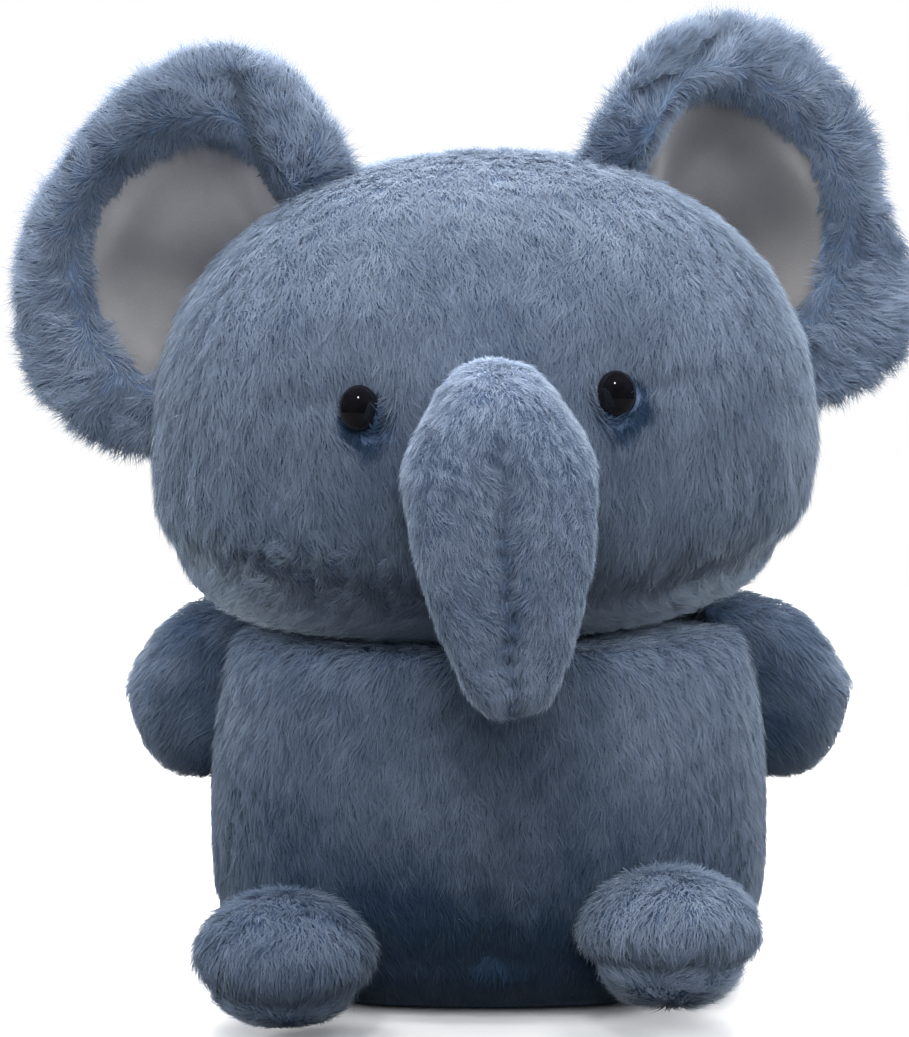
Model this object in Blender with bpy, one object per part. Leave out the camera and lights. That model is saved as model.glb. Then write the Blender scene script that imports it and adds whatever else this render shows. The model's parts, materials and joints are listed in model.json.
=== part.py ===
"""Stuffed elephant: a sitting plush toy about 250 mm tall.

Built the way it is sewn.  Pile fabric panels, one object each, close around loose polyester
filling; the head sits on the body at a stitched neck, and the trunk, ears, arms and feet are
sewn on.  Dimensions below are millimetres; the model is in metres.  The toy faces -Y and rests
on the flat of its base at z = 0.  Left and right are as seen from in front of the face.
"""
import math
from typing import NamedTuple

import bmesh
import bpy
from mathutils import Matrix, Vector

MM = 0.001

# Fabric and stitching
PILE_FABRIC = 4.0          # backing cloth and pressed pile together
MINKY_FABRIC = 2.4         # short-pile cloth of the ear linings
SEAM_GAP = 1.9             # room left between two panels where they are stitched
LIMB_SEAM_GAP = 2.8        # the same on the arms, whose small curves tilt the panel edges together
FILL_GAP = 1.0             # room between a panel and the filling behind it
THREAD = 1.2               # thickness of the neck's gathering thread

# Body: a soft box with a flat base
BODY_HALF_WIDTH = 70.0
BODY_HALF_DEPTH = 56.0
BODY_WIDEST_Z = 36.0
BODY_TOP_Z = 84.5
BODY_BASE_CURVE = 42.0     # height of the lower curve, cut off flat at z = 0
BASE_SEAM_Z = 17.0
BODY_SIDE_SEAM_Y = 6.0

# Head: a wide soft box, rounder above than below, leaning to one side
NECK_GAP = 4.5
HEAD_BOTTOM_Z = BODY_TOP_Z + NECK_GAP
HEAD_TOP_Z = 210.5
HEAD_WIDEST_Z = 140.0
HEAD_HALF_WIDTH = 83.5
HEAD_HALF_DEPTH = 72.0
HEAD_TILT = math.radians(3)
HEAD_TURN = math.radians(2)
NECK_X = 1.5               # how far the leaning head is set to one side
CHIN_SEAM_Z = 106.0
HEAD_SIDE_SEAM_Y = 10.0
NECK_RADIUS = 38.0

# Eyes: black domes with a shank through the fabric and a lock washer behind it
EYE_X = 30.0
EYE_Z = 153.8
EYE_RADIUS = 5.2
EYE_HEIGHT = 4.2
SHANK_RADIUS = 1.6
SHANK_LENGTH = 9.5
WASHER_RADIUS = 5.5
WASHER_THICKNESS = 1.6
WASHER_GAP = 1.5
WASHER_CLEARANCE = 0.3     # bore of the washer round the shank
SHANK_CLEARANCE = 0.4      # hole in the cloth round the shank
RECESS_CLEARANCE = 0.8     # hollow in the filling round the washer

# Trunk: a round root set in the face, tapering down to a blunt tip
TRUNK_PIVOT = Vector((0.0, -80.0, 143.0))
TRUNK_ROOT = 23.5
TRUNK_LENGTH = 60.0
TRUNK_TIP_HALF_WIDTH = 8.6
TRUNK_TIP_FRONT = 19.0
TRUNK_TIP_BACK = 4.0
TRUNK_TIP_ROUND = 2.0
TRUNK_FILL_GAP = 1.8
SOCKET_GAP = 1.6

# Ears: plump rimmed discs, cupped forward
EAR_RADIUS = 52.5
EAR_WIDTH_SHARE, EAR_HEIGHT_SHARE = 0.965, 1.035
EAR_CENTRE_X = 65.5
EAR_CENTRE_Y = 10.0
EAR_CENTRE_Z = 184.5
EAR_RIM_HALF = 8.5         # half the thickness of the plump rim
EAR_MIDDLE_HALF = 6.0      # half the thickness at the middle
EAR_ROOT_SHARE = 0.55      # share of that thickness left where the ear is sewn on
EAR_ROOT_TAPER = 22.0
EAR_CUP = 12.0             # how far the rim comes forward of the middle
EAR_LINING_RADIUS = 33.0
EAR_ROOT_X, EAR_ROOT_Z = 56.8, 173.8       # middle of the line the ear is sewn along
EAR_ROOT_SLOPE = math.radians(54.7)        # how steeply that line falls outwards
EAR_BACK = {"left": math.radians(6), "right": math.radians(30)}
EAR_HEAD_GAP = 3.8
EAR_FABRIC = 3.0           # the ears' cloth is pressed thinner
EAR_RIM_OPEN = 6           # degrees from the outermost edge to where each layer starts
EAR_SWELL = 0.5            # how far each side bows out round the lining
LINING_SWELL = 0.4
WADDING_TUCK = 2.0         # how far the wadding's thick rim reaches in behind the lining
WADDING_EDGE_GAP = 1.0

# Arms: small mittens at the shoulders
ARM_X = 78.3
ARM_Y = 3.0
ARM_Z = 75.0
ARM_HALF = (11.5, 17.0, 22.0)
ARM_LEAN = math.radians(8)
SHOULDER_Z = 88.0

# Feet: round stubs set in the front of the body, the right one with its toes up
FOOT_HALF_WIDTH = 22.0
FOOT_HALF_HEIGHT = 18.0
FOOT_TOE = 25.0
FOOT_Y = -61.0
FOOT_X = {"left": -49.5, "right": 43.0}
FOOT_Z = {"left": 18.6, "right": 24.0}
FOOT_TOES_UP = {"left": 0.0, "right": math.radians(9)}
FOOT_SEAM_DROP = 7.0

# How finely the round shapes are faceted
AROUND_LARGE, RINGS_LARGE = 26, 12
AROUND_SMALL, RINGS_SMALL = 16, 8

EAR_STEPS = 22
EYE_STEPS = 14
TRUNK_AROUND, TRUNK_RINGS = 18, 7
TRUNK_BALL_LIFTS = (0, 22, 44, 66)         # degrees above the pivot of the half ball's rings

RIGHT, BACK = Vector((1, 0, 0)), Vector((0, 1, 0))
UP, DOWN = Vector((0, 0, 1)), Vector((0, 0, -1))
SIDES = {"left": -1, "right": 1}

# Finishes: sRGB colour and roughness
SLATE_FUR = ((0.36, 0.42, 0.51), 0.95)
PALE_FUR = ((0.40, 0.46, 0.55), 0.95)
DARK_FUR = ((0.30, 0.36, 0.45), 0.95)
GREY_MINKY = ((0.56, 0.56, 0.58), 0.85)
WHITE_FIBRE = ((0.92, 0.92, 0.91), 1.0)
BLACK_GLOSS = ((0.02, 0.02, 0.025), 0.08)
CLEAR_WHITE = ((0.88, 0.88, 0.86), 0.40)
SLATE_THREAD = ((0.26, 0.31, 0.39), 0.60)


class Pillow(NamedTuple):
    """A closed soft box: superellipse plans whose size follows a superellipse up its height."""
    centre: Vector
    half_width: float
    front: float
    back: float
    up: float
    down: float
    plan_power: float
    up_power: float
    down_power: float

    def grown(self, by):
        """The same shape with each half dimension larger by this much."""
        return self._replace(half_width=self.half_width + by, front=self.front + by,
                             back=self.back + by, up=self.up + by, down=self.down + by)

    def ring_share(self, height):
        """Size of the plan at a height above the centre, as a share of the widest plan."""
        reach, power = (self.up, self.up_power) if height >= 0 else (self.down, self.down_power)
        return max(1 - abs(height / reach) ** power, 0) ** (1 / power)

    def front_y(self, x, z):
        """Where the front surface is, at a place seen from the front."""
        share = self.ring_share(z - self.centre.z)
        across = abs((x - self.centre.x) / (self.half_width * share))
        return self.centre.y - self.front * share * (1 - across ** self.plan_power) ** (1 / self.plan_power)


HEAD = Pillow(Vector((0, 0, HEAD_WIDEST_Z)), HEAD_HALF_WIDTH, HEAD_HALF_DEPTH, HEAD_HALF_DEPTH,
              HEAD_TOP_Z - HEAD_WIDEST_Z, HEAD_WIDEST_Z - HEAD_BOTTOM_Z, 2.3, 2.15, 3.2)
BODY = Pillow(Vector((0, 0, BODY_WIDEST_Z)), BODY_HALF_WIDTH, BODY_HALF_DEPTH, BODY_HALF_DEPTH,
              BODY_TOP_Z - BODY_WIDEST_Z, BODY_BASE_CURVE, 3.0, 6.0, 3.0)


def arm_shape(side):
    """The mitten shape of one arm."""
    half_x, half_y, half_z = ARM_HALF
    return Pillow(Vector((SIDES[side] * ARM_X, ARM_Y, ARM_Z)), half_x, half_y, half_y,
                  half_z, half_z, 2.2, 2.0, 2.3)


def foot_shape(side, toe=FOOT_TOE):
    """The stub shape of one foot: round about its hinge behind, drawn out to a toe in front."""
    centre = Vector((FOOT_X[side], FOOT_Y, FOOT_Z[side]))
    return Pillow(centre, FOOT_HALF_WIDTH, toe, FOOT_HALF_HEIGHT,
                  FOOT_HALF_HEIGHT, FOOT_HALF_HEIGHT, 2.0, 2.0, 2.0)


def clear_scene():
    """Start from nothing."""
    for old in list(bpy.data.objects):
        bpy.data.objects.remove(old, do_unlink=True)


def superellipse(angle, power):
    """The point at this angle on a superellipse of half size 1."""
    c, s = math.cos(angle), math.sin(angle)
    reach = (abs(c) ** power + abs(s) ** power) ** (-1 / power)
    return c * reach, s * reach


def skin_rings(bm, rings, bottom, top):
    """Join rings of points, lowest first, into one closed surface between two end points."""
    loops = [[bm.verts.new(point) for point in ring] for ring in rings]
    low, high = bm.verts.new(bottom), bm.verts.new(top)
    count = len(loops[0])
    for k in range(count):
        after = (k + 1) % count
        bm.faces.new((low, loops[0][after], loops[0][k]))
        bm.faces.new((high, loops[-1][k], loops[-1][after]))
        for lower, upper in zip(loops, loops[1:]):
            bm.faces.new((lower[k], lower[after], upper[after], upper[k]))
    bmesh.ops.recalc_face_normals(bm, faces=bm.faces)


def pillow_mesh(shape, around=AROUND_LARGE, rings=RINGS_LARGE):
    """A closed mesh of a pillow shape."""
    plans = []
    for ring in range(1, rings):
        lift = math.pi * (ring / rings - 0.5)
        reach, power = (shape.up, shape.up_power) if lift >= 0 else (shape.down, shape.down_power)
        share, height = superellipse(lift, power)
        plan = []
        for k in range(around):
            x, y = superellipse(2 * math.pi * (k + 0.5) / around, shape.plan_power)
            depth = shape.back if y > 0 else shape.front
            plan.append(shape.centre + Vector((x * shape.half_width, y * depth, 0)) * share
                        + UP * height * reach)
        plans.append(plan)
    bm = bmesh.new()
    skin_rings(bm, plans, shape.centre + DOWN * shape.down, shape.centre + UP * shape.up)
    return bm


def keep_beyond(bm, direction, distance, close=False):
    """Cut a mesh by a plane, keep what lies beyond it, and close the cut if asked."""
    cut = bmesh.ops.bisect_plane(bm, geom=bm.verts[:] + bm.edges[:] + bm.faces[:], dist=1e-4,
                                 plane_co=direction * distance, plane_no=-direction, clear_outer=True)
    if close:
        rim = [piece for piece in cut["geom_cut"] if isinstance(piece, bmesh.types.BMEdge)]
        bmesh.ops.edgeloop_fill(bm, edges=rim)
        bmesh.ops.recalc_face_normals(bm, faces=bm.faces)


def frame_at(name, point, parent=None, parent_point=Vector()):
    """An empty at a point of the upright model, which the pieces of one moving body hang from."""
    empty = bpy.data.objects.new(name, None)
    empty.location = (point - parent_point) * MM
    empty.parent = parent
    bpy.context.scene.collection.objects.link(empty)
    return empty


def add_object(name, bm, pivot, parent, parent_point=Vector(), finish=None):
    """Turn a mesh in upright model millimetres into an object whose origin is its pivot."""
    bmesh.ops.transform(bm, matrix=Matrix.Scale(MM, 4) @ Matrix.Translation(-pivot), verts=bm.verts)
    mesh = bpy.data.meshes.new(name)
    bm.to_mesh(mesh)
    bm.free()
    piece = bpy.data.objects.new(name, mesh)
    piece.location = (pivot - parent_point) * MM
    piece.parent = parent
    bpy.context.scene.collection.objects.link(piece)
    if finish:
        mesh.shade_smooth()
        mesh.set_sharp_from_angle(angle=math.radians(45))
        mesh.materials.append(material(name + "_finish", *finish))
    return piece


def material(name, srgb, roughness):
    """A plain Principled finish."""
    made = bpy.data.materials.new(name)
    made.use_nodes = True
    shader = made.node_tree.nodes["Principled BSDF"]
    linear = [((c + 0.055) / 1.055) ** 2.4 if c > 0.04 else c / 12.92 for c in srgb]
    shader.inputs["Base Color"].default_value = (*linear, 1)
    shader.inputs["Roughness"].default_value = roughness
    shader.inputs["Metallic"].default_value = 0.0
    made.diffuse_color = (*linear, 1)
    return made


def thicken(piece, thickness):
    """Give a panel its cloth thickness, inwards from its outer face."""
    solid = piece.modifiers.new("cloth", 'SOLIDIFY')
    solid.thickness = thickness * MM
    solid.offset = -1
    solid.use_even_offset = True


def hollow(piece, *cutters):
    """Cut other shapes out of a piece."""
    for cutter in cutters:
        cut = piece.modifiers.new("cut", 'BOOLEAN')
        cut.operation = 'DIFFERENCE'
        cut.solver = 'EXACT'
        cut.object = cutter


def as_cutter(piece):
    """Mark an object as a tool that only cuts others."""
    piece.hide_render = True
    piece.display_type = 'WIRE'
    return piece


def panel(name, shape_mesh, cuts, body, finish, thickness=PILE_FABRIC):
    """One cloth panel: the part of a closed shape beyond each cut plane, thickened inwards."""
    for direction, distance in cuts:
        keep_beyond(shape_mesh, direction, distance)
    piece = add_object(name, shape_mesh, body.point, body.frame, body.point, finish)
    thicken(piece, thickness)
    return piece


def filling(name, shape_mesh, body):
    """Loose polyester fibre, packed to the shape inside its panels."""
    return add_object(name, shape_mesh, body.point, body.frame, body.point, WHITE_FIBRE)


class Body(NamedTuple):
    """A moving body: its empty and the point of the upright model where that empty is."""
    frame: bpy.types.Object
    point: Vector


def head_body():
    """The head's frame: on the neck, leaning with the head."""
    point = Vector((0, 0, HEAD_BOTTOM_Z))
    frame = frame_at("head_axis", point + RIGHT * NECK_X)
    frame.rotation_euler = (0, -HEAD_TILT, HEAD_TURN)
    return Body(frame, point)


def seam_sides(direction, distance, gap=SEAM_GAP):
    """The two cuts either side of a seam: on and beyond it, and short of it."""
    return (direction, distance + gap / 2), (-direction, -distance + gap / 2)


def build_head(head, socket):
    """Face, chin and two back panels over the filling."""
    behind, before = seam_sides(BACK, HEAD_SIDE_SEAM_Y)
    above, below = seam_sides(UP, CHIN_SEAM_Z)
    on_right, on_left = seam_sides(RIGHT, 0)
    face = panel("head_face_panel", pillow_mesh(HEAD), (before, above), head, SLATE_FUR)
    panel("head_chin_panel", pillow_mesh(HEAD), (before, below), head, DARK_FUR)
    panel("head_back_left_panel", pillow_mesh(HEAD), (behind, on_left), head, SLATE_FUR)
    panel("head_back_right_panel", pillow_mesh(HEAD), (behind, on_right), head, SLATE_FUR)
    stuffing = filling("head_filling", pillow_mesh(HEAD.grown(-PILE_FABRIC - FILL_GAP)), head)
    hollow(face, socket)
    hollow(stuffing, socket)
    return face, stuffing


def revolve(profile, steps):
    """Turn a closed profile of (radius, height) points about the Z axis into a closed mesh."""
    bm = bmesh.new()
    columns = []
    for k in range(steps):
        turn = 2 * math.pi * k / steps
        columns.append([
            bm.verts.new((r * math.cos(turn), r * math.sin(turn), z)) if r > 0 or k == 0 else None
            for r, z in profile])
    for k in range(steps):
        here, there = columns[k], columns[(k + 1) % steps]
        for j in range(len(profile)):
            n = (j + 1) % len(profile)
            corners = [here[j] or columns[0][j], there[j] or columns[0][j],
                       there[n] or columns[0][n], here[n] or columns[0][n]]
            distinct = list(dict.fromkeys(corners))
            if len(distinct) > 2:
                bm.faces.new(distinct)
    bmesh.ops.recalc_face_normals(bm, faces=bm.faces)
    return bm


def arc(centre, radius, start, stop, count):
    """Points on an arc, both ends included, with angles in degrees."""
    points = []
    for k in range(count + 1):
        angle = math.radians(start + (stop - start) * k / count)
        points.append((centre[0] + radius * math.cos(angle), centre[1] + radius * math.sin(angle)))
    return points


def eye_profile():
    """Dome, flat back and shank, turned about the eye's own axis; the cloth is at height 0."""
    cloth = 0.4
    dome = []
    for k in range(6):
        angle = math.pi / 2 * k / 5
        dome.append((EYE_RADIUS * math.sin(angle), cloth + EYE_HEIGHT * math.cos(angle)))
    dome[0] = (0, cloth + EYE_HEIGHT)
    return dome + [(SHANK_RADIUS, cloth), (SHANK_RADIUS, -SHANK_LENGTH), (0, -SHANK_LENGTH)]


def build_eye(side, head, face, stuffing):
    """A safety eye square to the face, its washer behind the cloth, and the holes for them."""
    x = SIDES[side] * EYE_X
    step = EYE_RADIUS / 5
    spot = Vector((x, HEAD.front_y(x, EYE_Z), EYE_Z))
    across = Vector((2 * step, HEAD.front_y(x + step, EYE_Z) - HEAD.front_y(x - step, EYE_Z), 0))
    along = Vector((0, HEAD.front_y(x, EYE_Z + step) - HEAD.front_y(x, EYE_Z - step), 2 * step))
    outward = across.cross(along).normalized()
    stand = Matrix.Translation(spot) @ outward.to_track_quat('Z', 'Y').to_matrix().to_4x4()

    def turned(name, profile, steps, finish=None):
        bm = revolve(profile, steps)
        bmesh.ops.transform(bm, matrix=stand, verts=bm.verts)
        return add_object(name, bm, spot, head.frame, head.point, finish)

    turned(f"eye_{side}", eye_profile(), EYE_STEPS, BLACK_GLOSS)
    washer_top = -PILE_FABRIC - WASHER_GAP
    washer_bore = SHANK_RADIUS + WASHER_CLEARANCE
    turned(f"eye_{side}_washer",
           [(washer_bore, washer_top), (WASHER_RADIUS, washer_top),
            (WASHER_RADIUS, washer_top - WASHER_THICKNESS), (washer_bore, washer_top - WASHER_THICKNESS)],
           EYE_STEPS, CLEAR_WHITE)

    def hole(name, radius, depth):
        return as_cutter(turned(name, [(0, above), (radius, above), (radius, -depth), (0, -depth)], EYE_STEPS))

    above = EYE_RADIUS
    hollow(face, hole(f"cut_eye_{side}_hole", SHANK_RADIUS + SHANK_CLEARANCE, 2 * SHANK_LENGTH))
    hollow(stuffing, hole(f"cut_eye_{side}_recess", WASHER_RADIUS + RECESS_CLEARANCE, SHANK_LENGTH + FILL_GAP))


def trunk_ring(drop, inset, around):
    """One ring of the trunk, a distance below its pivot, inset from the outer face."""
    share = drop / TRUNK_LENGTH
    half_width = TRUNK_TIP_HALF_WIDTH + (TRUNK_ROOT - TRUNK_TIP_HALF_WIDTH) * (1 - share ** 2.1) - inset
    front = TRUNK_ROOT - (TRUNK_ROOT - TRUNK_TIP_FRONT) * share ** 2 - inset
    back = -TRUNK_TIP_BACK + (TRUNK_ROOT + TRUNK_TIP_BACK) * (1 - share) ** 2.2 - inset
    middle, half_depth = (back - front) / 2, (back + front) / 2
    return ring_at(Vector((0, middle, -drop)), half_width, half_depth, around)


def ring_at(centre, half_width, half_depth, around):
    """An elliptical ring of points about a centre below, at or above the trunk's pivot."""
    ring = []
    for k in range(around):
        angle = 2 * math.pi * (k + 0.5) / around
        offset = Vector((half_width * math.cos(angle), half_depth * math.sin(angle), 0))
        ring.append(TRUNK_PIVOT + centre + offset)
    return ring


def trunk_mesh(inset=0.0):
    """The whole trunk: a half ball above the pivot and the taper below it."""
    length = TRUNK_LENGTH - inset
    drops = [length * (TRUNK_RINGS - k) / TRUNK_RINGS for k in range(TRUNK_RINGS)]
    rings = [trunk_ring(drop, inset, TRUNK_AROUND) for drop in drops]
    rings[0] = trunk_ring(length - TRUNK_TIP_ROUND, inset, TRUNK_AROUND)
    rings.insert(0, trunk_ring(length, inset + TRUNK_TIP_ROUND, TRUNK_AROUND))
    ball = TRUNK_ROOT - inset
    for lift in TRUNK_BALL_LIFTS:
        lean = math.radians(lift)
        radius = ball * math.cos(lean)
        rings.append(ring_at(UP * ball * math.sin(lean), radius, radius, TRUNK_AROUND))
    tip = sum(rings[0], Vector()) / TRUNK_AROUND
    bm = bmesh.new()
    skin_rings(bm, rings, tip, TRUNK_PIVOT + UP * ball)
    return bm


def build_trunk(head):
    """Two front panels, the under panel and the filling, turning on a ball set in the face."""
    frame = frame_at("trunk_axis", TRUNK_PIVOT, head.frame, head.point)
    trunk = Body(frame, TRUNK_PIVOT)
    tip_middle = -(TRUNK_TIP_FRONT + TRUNK_TIP_BACK) / 2
    seam_normal = Vector((0, TRUNK_LENGTH, tip_middle)).normalized()
    under, front = seam_sides(seam_normal, seam_normal.dot(TRUNK_PIVOT))
    on_right, on_left = seam_sides(RIGHT, 0)
    panel("trunk_left_panel", trunk_mesh(), (front, on_left), trunk, PALE_FUR)
    panel("trunk_right_panel", trunk_mesh(), (front, on_right), trunk, PALE_FUR)
    panel("trunk_under_panel", trunk_mesh(), (under,), trunk, PALE_FUR)
    filling("trunk_filling", trunk_mesh(PILE_FABRIC + TRUNK_FILL_GAP), trunk)


def trunk_socket(head):
    """The round hollow in the face that the trunk's root turns in."""
    reach = TRUNK_ROOT + SOCKET_GAP
    ball = Pillow(TRUNK_PIVOT, reach, reach, reach, reach, reach, 2, 2, 2)
    mesh = pillow_mesh(ball, AROUND_LARGE, RINGS_LARGE)
    return as_cutter(add_object("cut_trunk_socket", mesh, TRUNK_PIVOT, head.frame, head.point))


def ear_profiles():
    """Closed (radius, height) outlines of an ear's four layers, front face at negative height.

    Flat here: the cup and the thinner root are put in afterwards, to all four alike.
    """
    rim, middle = EAR_RIM_HALF, EAR_MIDDLE_HALF
    turn_at = EAR_RADIUS - rim
    inner = rim - EAR_FABRIC
    middle_inner = middle - EAR_FABRIC
    start = EAR_RIM_OPEN
    bow = (turn_at - EAR_LINING_RADIUS) / 2 + EAR_LINING_RADIUS
    swell = (rim + middle) / 2
    back = ([(0, middle), (EAR_LINING_RADIUS, middle + EAR_SWELL), (bow, swell + EAR_SWELL)]
            + arc((turn_at, 0), rim, 90, start, 3)
            + arc((turn_at, 0), inner, start * 2, 90, 2)
            + [(EAR_LINING_RADIUS, middle_inner + EAR_SWELL), (0, middle_inner)])
    rim_ring = ([(EAR_LINING_RADIUS, -middle_inner), (EAR_LINING_RADIUS, -middle - EAR_SWELL),
                 (bow, -swell - EAR_SWELL)]
                + arc((turn_at, 0), rim, -90, -start, 3)
                + arc((turn_at, 0), inner, -start * 2, -90, 2))
    lining_edge = EAR_LINING_RADIUS - SEAM_GAP
    lining_back = -middle + MINKY_FABRIC
    lining = [(0, -middle), (lining_edge, -middle - LINING_SWELL), (lining_edge, lining_back), (0, lining_back)]
    core = inner - FILL_GAP
    core_middle = middle_inner - FILL_GAP
    step_in = EAR_LINING_RADIUS - WADDING_TUCK
    wadding = ([(0, -core_middle), (step_in, -core_middle)]
               + arc((turn_at - WADDING_EDGE_GAP, 0), core, -90, 90, 4)
               + [(step_in, core_middle), (0, core_middle)])
    return {"back_panel": (back, SLATE_FUR), "rim_panel": (rim_ring, SLATE_FUR),
            "lining": (lining, GREY_MINKY), "wadding": (wadding, WHITE_FIBRE)}


def shape_ear(bm, side):
    """Stand a flat turned layer up beside the head: thin its root, cup it, and fold it back."""
    centre = Vector((SIDES[side] * EAR_CENTRE_X, EAR_CENTRE_Y, EAR_CENTRE_Z))
    hinge = ear_hinge(side)
    fold = Matrix.Rotation(-EAR_BACK[side], 3, ear_axis(side))
    for vert in bm.verts:
        across, high, depth = vert.co
        radius = math.hypot(across, high)
        across *= EAR_WIDTH_SHARE
        high *= EAR_HEIGHT_SHARE
        seen = centre + Vector((across, 0, high))
        spread = ((abs(seen.x) / HEAD.half_width) ** HEAD.up_power
                  + (abs(seen.z - HEAD_WIDEST_Z) / HEAD.up) ** HEAD.up_power) ** (1 / HEAD.up_power)
        beyond = (spread - 1) * HEAD.half_width / EAR_ROOT_TAPER
        blend = min(max(beyond, 0), 1)
        share = EAR_ROOT_SHARE + (1 - EAR_ROOT_SHARE) * blend * blend * (3 - 2 * blend)
        cup = EAR_CUP * (radius / EAR_RADIUS) ** 2
        vert.co = hinge + fold @ (seen + BACK * (depth * share - cup) - hinge)
    bmesh.ops.recalc_face_normals(bm, faces=bm.faces)


def ear_axis(side):
    """Direction of the line an ear is sewn along; turning about it brings the ear forward."""
    return Vector((math.cos(EAR_ROOT_SLOPE), 0, -SIDES[side] * math.sin(EAR_ROOT_SLOPE)))


def ear_hinge(side):
    """Middle of the line an ear is sewn along."""
    return Vector((SIDES[side] * EAR_ROOT_X, EAR_CENTRE_Y - EAR_CUP / 2, EAR_ROOT_Z))


def build_ear(side, head, clearance):
    """Back panel, furry rim, soft lining and wadding, cut to the curve of the head."""
    hinge = ear_hinge(side)
    ear = Body(frame_at(f"ear_{side}_axis", hinge, head.frame, head.point), hinge)
    for layer, (profile, finish) in ear_profiles().items():
        bm = revolve(profile, EAR_STEPS)
        shape_ear(bm, side)
        piece = add_object(f"ear_{side}_{layer}", bm, hinge, ear.frame, hinge, finish)
        hollow(piece, clearance)


def build_body(feet_hollows):
    """Two belly panels, the back, the base, and the filling they hold."""
    torso = Body(None, Vector())
    behind, before = seam_sides(BACK, BODY_SIDE_SEAM_Y)
    above, below = seam_sides(UP, BASE_SEAM_Z)
    on_right, on_left = seam_sides(RIGHT, 0)
    left = panel("body_belly_left_panel", pillow_mesh(BODY), (before, above, on_left), torso, SLATE_FUR)
    right = panel("body_belly_right_panel", pillow_mesh(BODY), (before, above, on_right), torso, SLATE_FUR)
    panel("body_back_panel", pillow_mesh(BODY), (behind, above), torso, SLATE_FUR)
    base_mesh = pillow_mesh(BODY)
    keep_beyond(base_mesh, UP, 0.0, close=True)
    base = panel("body_base_panel", base_mesh, (below,), torso, DARK_FUR)
    stuffing_mesh = pillow_mesh(BODY.grown(-PILE_FABRIC - FILL_GAP))
    keep_beyond(stuffing_mesh, UP, PILE_FABRIC + FILL_GAP, close=True)
    stuffing = filling("body_filling", stuffing_mesh, torso)
    hollow(left, feet_hollows["left"])
    hollow(right, feet_hollows["right"])
    hollow(base, *feet_hollows.values())
    hollow(stuffing, *feet_hollows.values())


def build_neck_thread():
    """The thread that gathers the neck: a ring in the seam between body and head."""
    bm = revolve(arc((NECK_RADIUS, 0), THREAD / 2, 0, 288, 4), 28)
    lean = Matrix.Rotation(-HEAD_TILT / 2, 4, 'Y')
    middle = Vector((0, 0, BODY_TOP_Z + NECK_GAP / 2))
    bmesh.ops.transform(bm, matrix=Matrix.Translation(middle) @ lean, verts=bm.verts)
    add_object("neck_seam_thread", bm, middle, None, Vector(), SLATE_THREAD)


def build_arm(side):
    """Front and back panels and the filling of one arm, hung from the shoulder."""
    shoulder = Vector((SIDES[side] * ARM_X, ARM_Y, SHOULDER_Z))
    arm = Body(frame_at(f"arm_{side}_axis", shoulder), shoulder)
    arm.frame.rotation_euler = (0, -SIDES[side] * ARM_LEAN, 0)
    shape = arm_shape(side)
    behind, before = seam_sides(BACK, ARM_Y, LIMB_SEAM_GAP)

    def mesh(grow=0.0):
        return pillow_mesh(shape.grown(grow), AROUND_SMALL, RINGS_SMALL)

    panel(f"arm_{side}_front_panel", mesh(), (before,), arm, DARK_FUR)
    panel(f"arm_{side}_back_panel", mesh(), (behind,), arm, DARK_FUR)
    filling(f"arm_{side}_filling", mesh(-PILE_FABRIC - FILL_GAP), arm)


def foot_hollow(side):
    """The hollow in the body that the back of a foot turns in."""
    shape = foot_shape(side, toe=FOOT_HALF_HEIGHT).grown(SOCKET_GAP)
    mesh = pillow_mesh(shape, AROUND_SMALL, RINGS_SMALL)
    return as_cutter(add_object(f"cut_foot_{side}_hollow", mesh, shape.centre, None))


def build_foot(side):
    """Upper panel, sole panel and filling of one foot, hinged on its own cross axis."""
    shape = foot_shape(side)
    frame = frame_at(f"foot_{side}_axis", shape.centre)
    frame.rotation_euler = (-FOOT_TOES_UP[side], 0, 0)
    foot = Body(frame, shape.centre)
    above, below = seam_sides(UP, shape.centre.z - FOOT_SEAM_DROP)

    def mesh(grow=0.0):
        return pillow_mesh(shape.grown(grow), AROUND_SMALL, RINGS_SMALL)

    panel(f"foot_{side}_upper_panel", mesh(), (above,), foot, SLATE_FUR)
    panel(f"foot_{side}_sole_panel", mesh(), (below,), foot, SLATE_FUR)
    filling(f"foot_{side}_filling", mesh(-PILE_FABRIC - FILL_GAP), foot)


def build_elephant():
    """The whole toy."""
    clear_scene()
    build_body({side: foot_hollow(side) for side in SIDES})
    build_neck_thread()
    head = head_body()
    face, stuffing = build_head(head, trunk_socket(head))
    build_trunk(head)
    clearance_mesh = pillow_mesh(HEAD.grown(EAR_HEAD_GAP))
    clearance = as_cutter(add_object("cut_head_clearance", clearance_mesh, head.point, head.frame, head.point))
    for side in SIDES:
        build_eye(side, head, face, stuffing)
        build_ear(side, head, clearance)
        build_arm(side)
        build_foot(side)


build_elephant()
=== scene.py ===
"""The stuffed elephant's looks: pile fabric skins with strands of fur, ear linings, eyes and light."""

import json
import math
from typing import NamedTuple

import bmesh
import bpy
import numpy as np
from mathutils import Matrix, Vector
from mathutils.bvhtree import BVHTree


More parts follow.
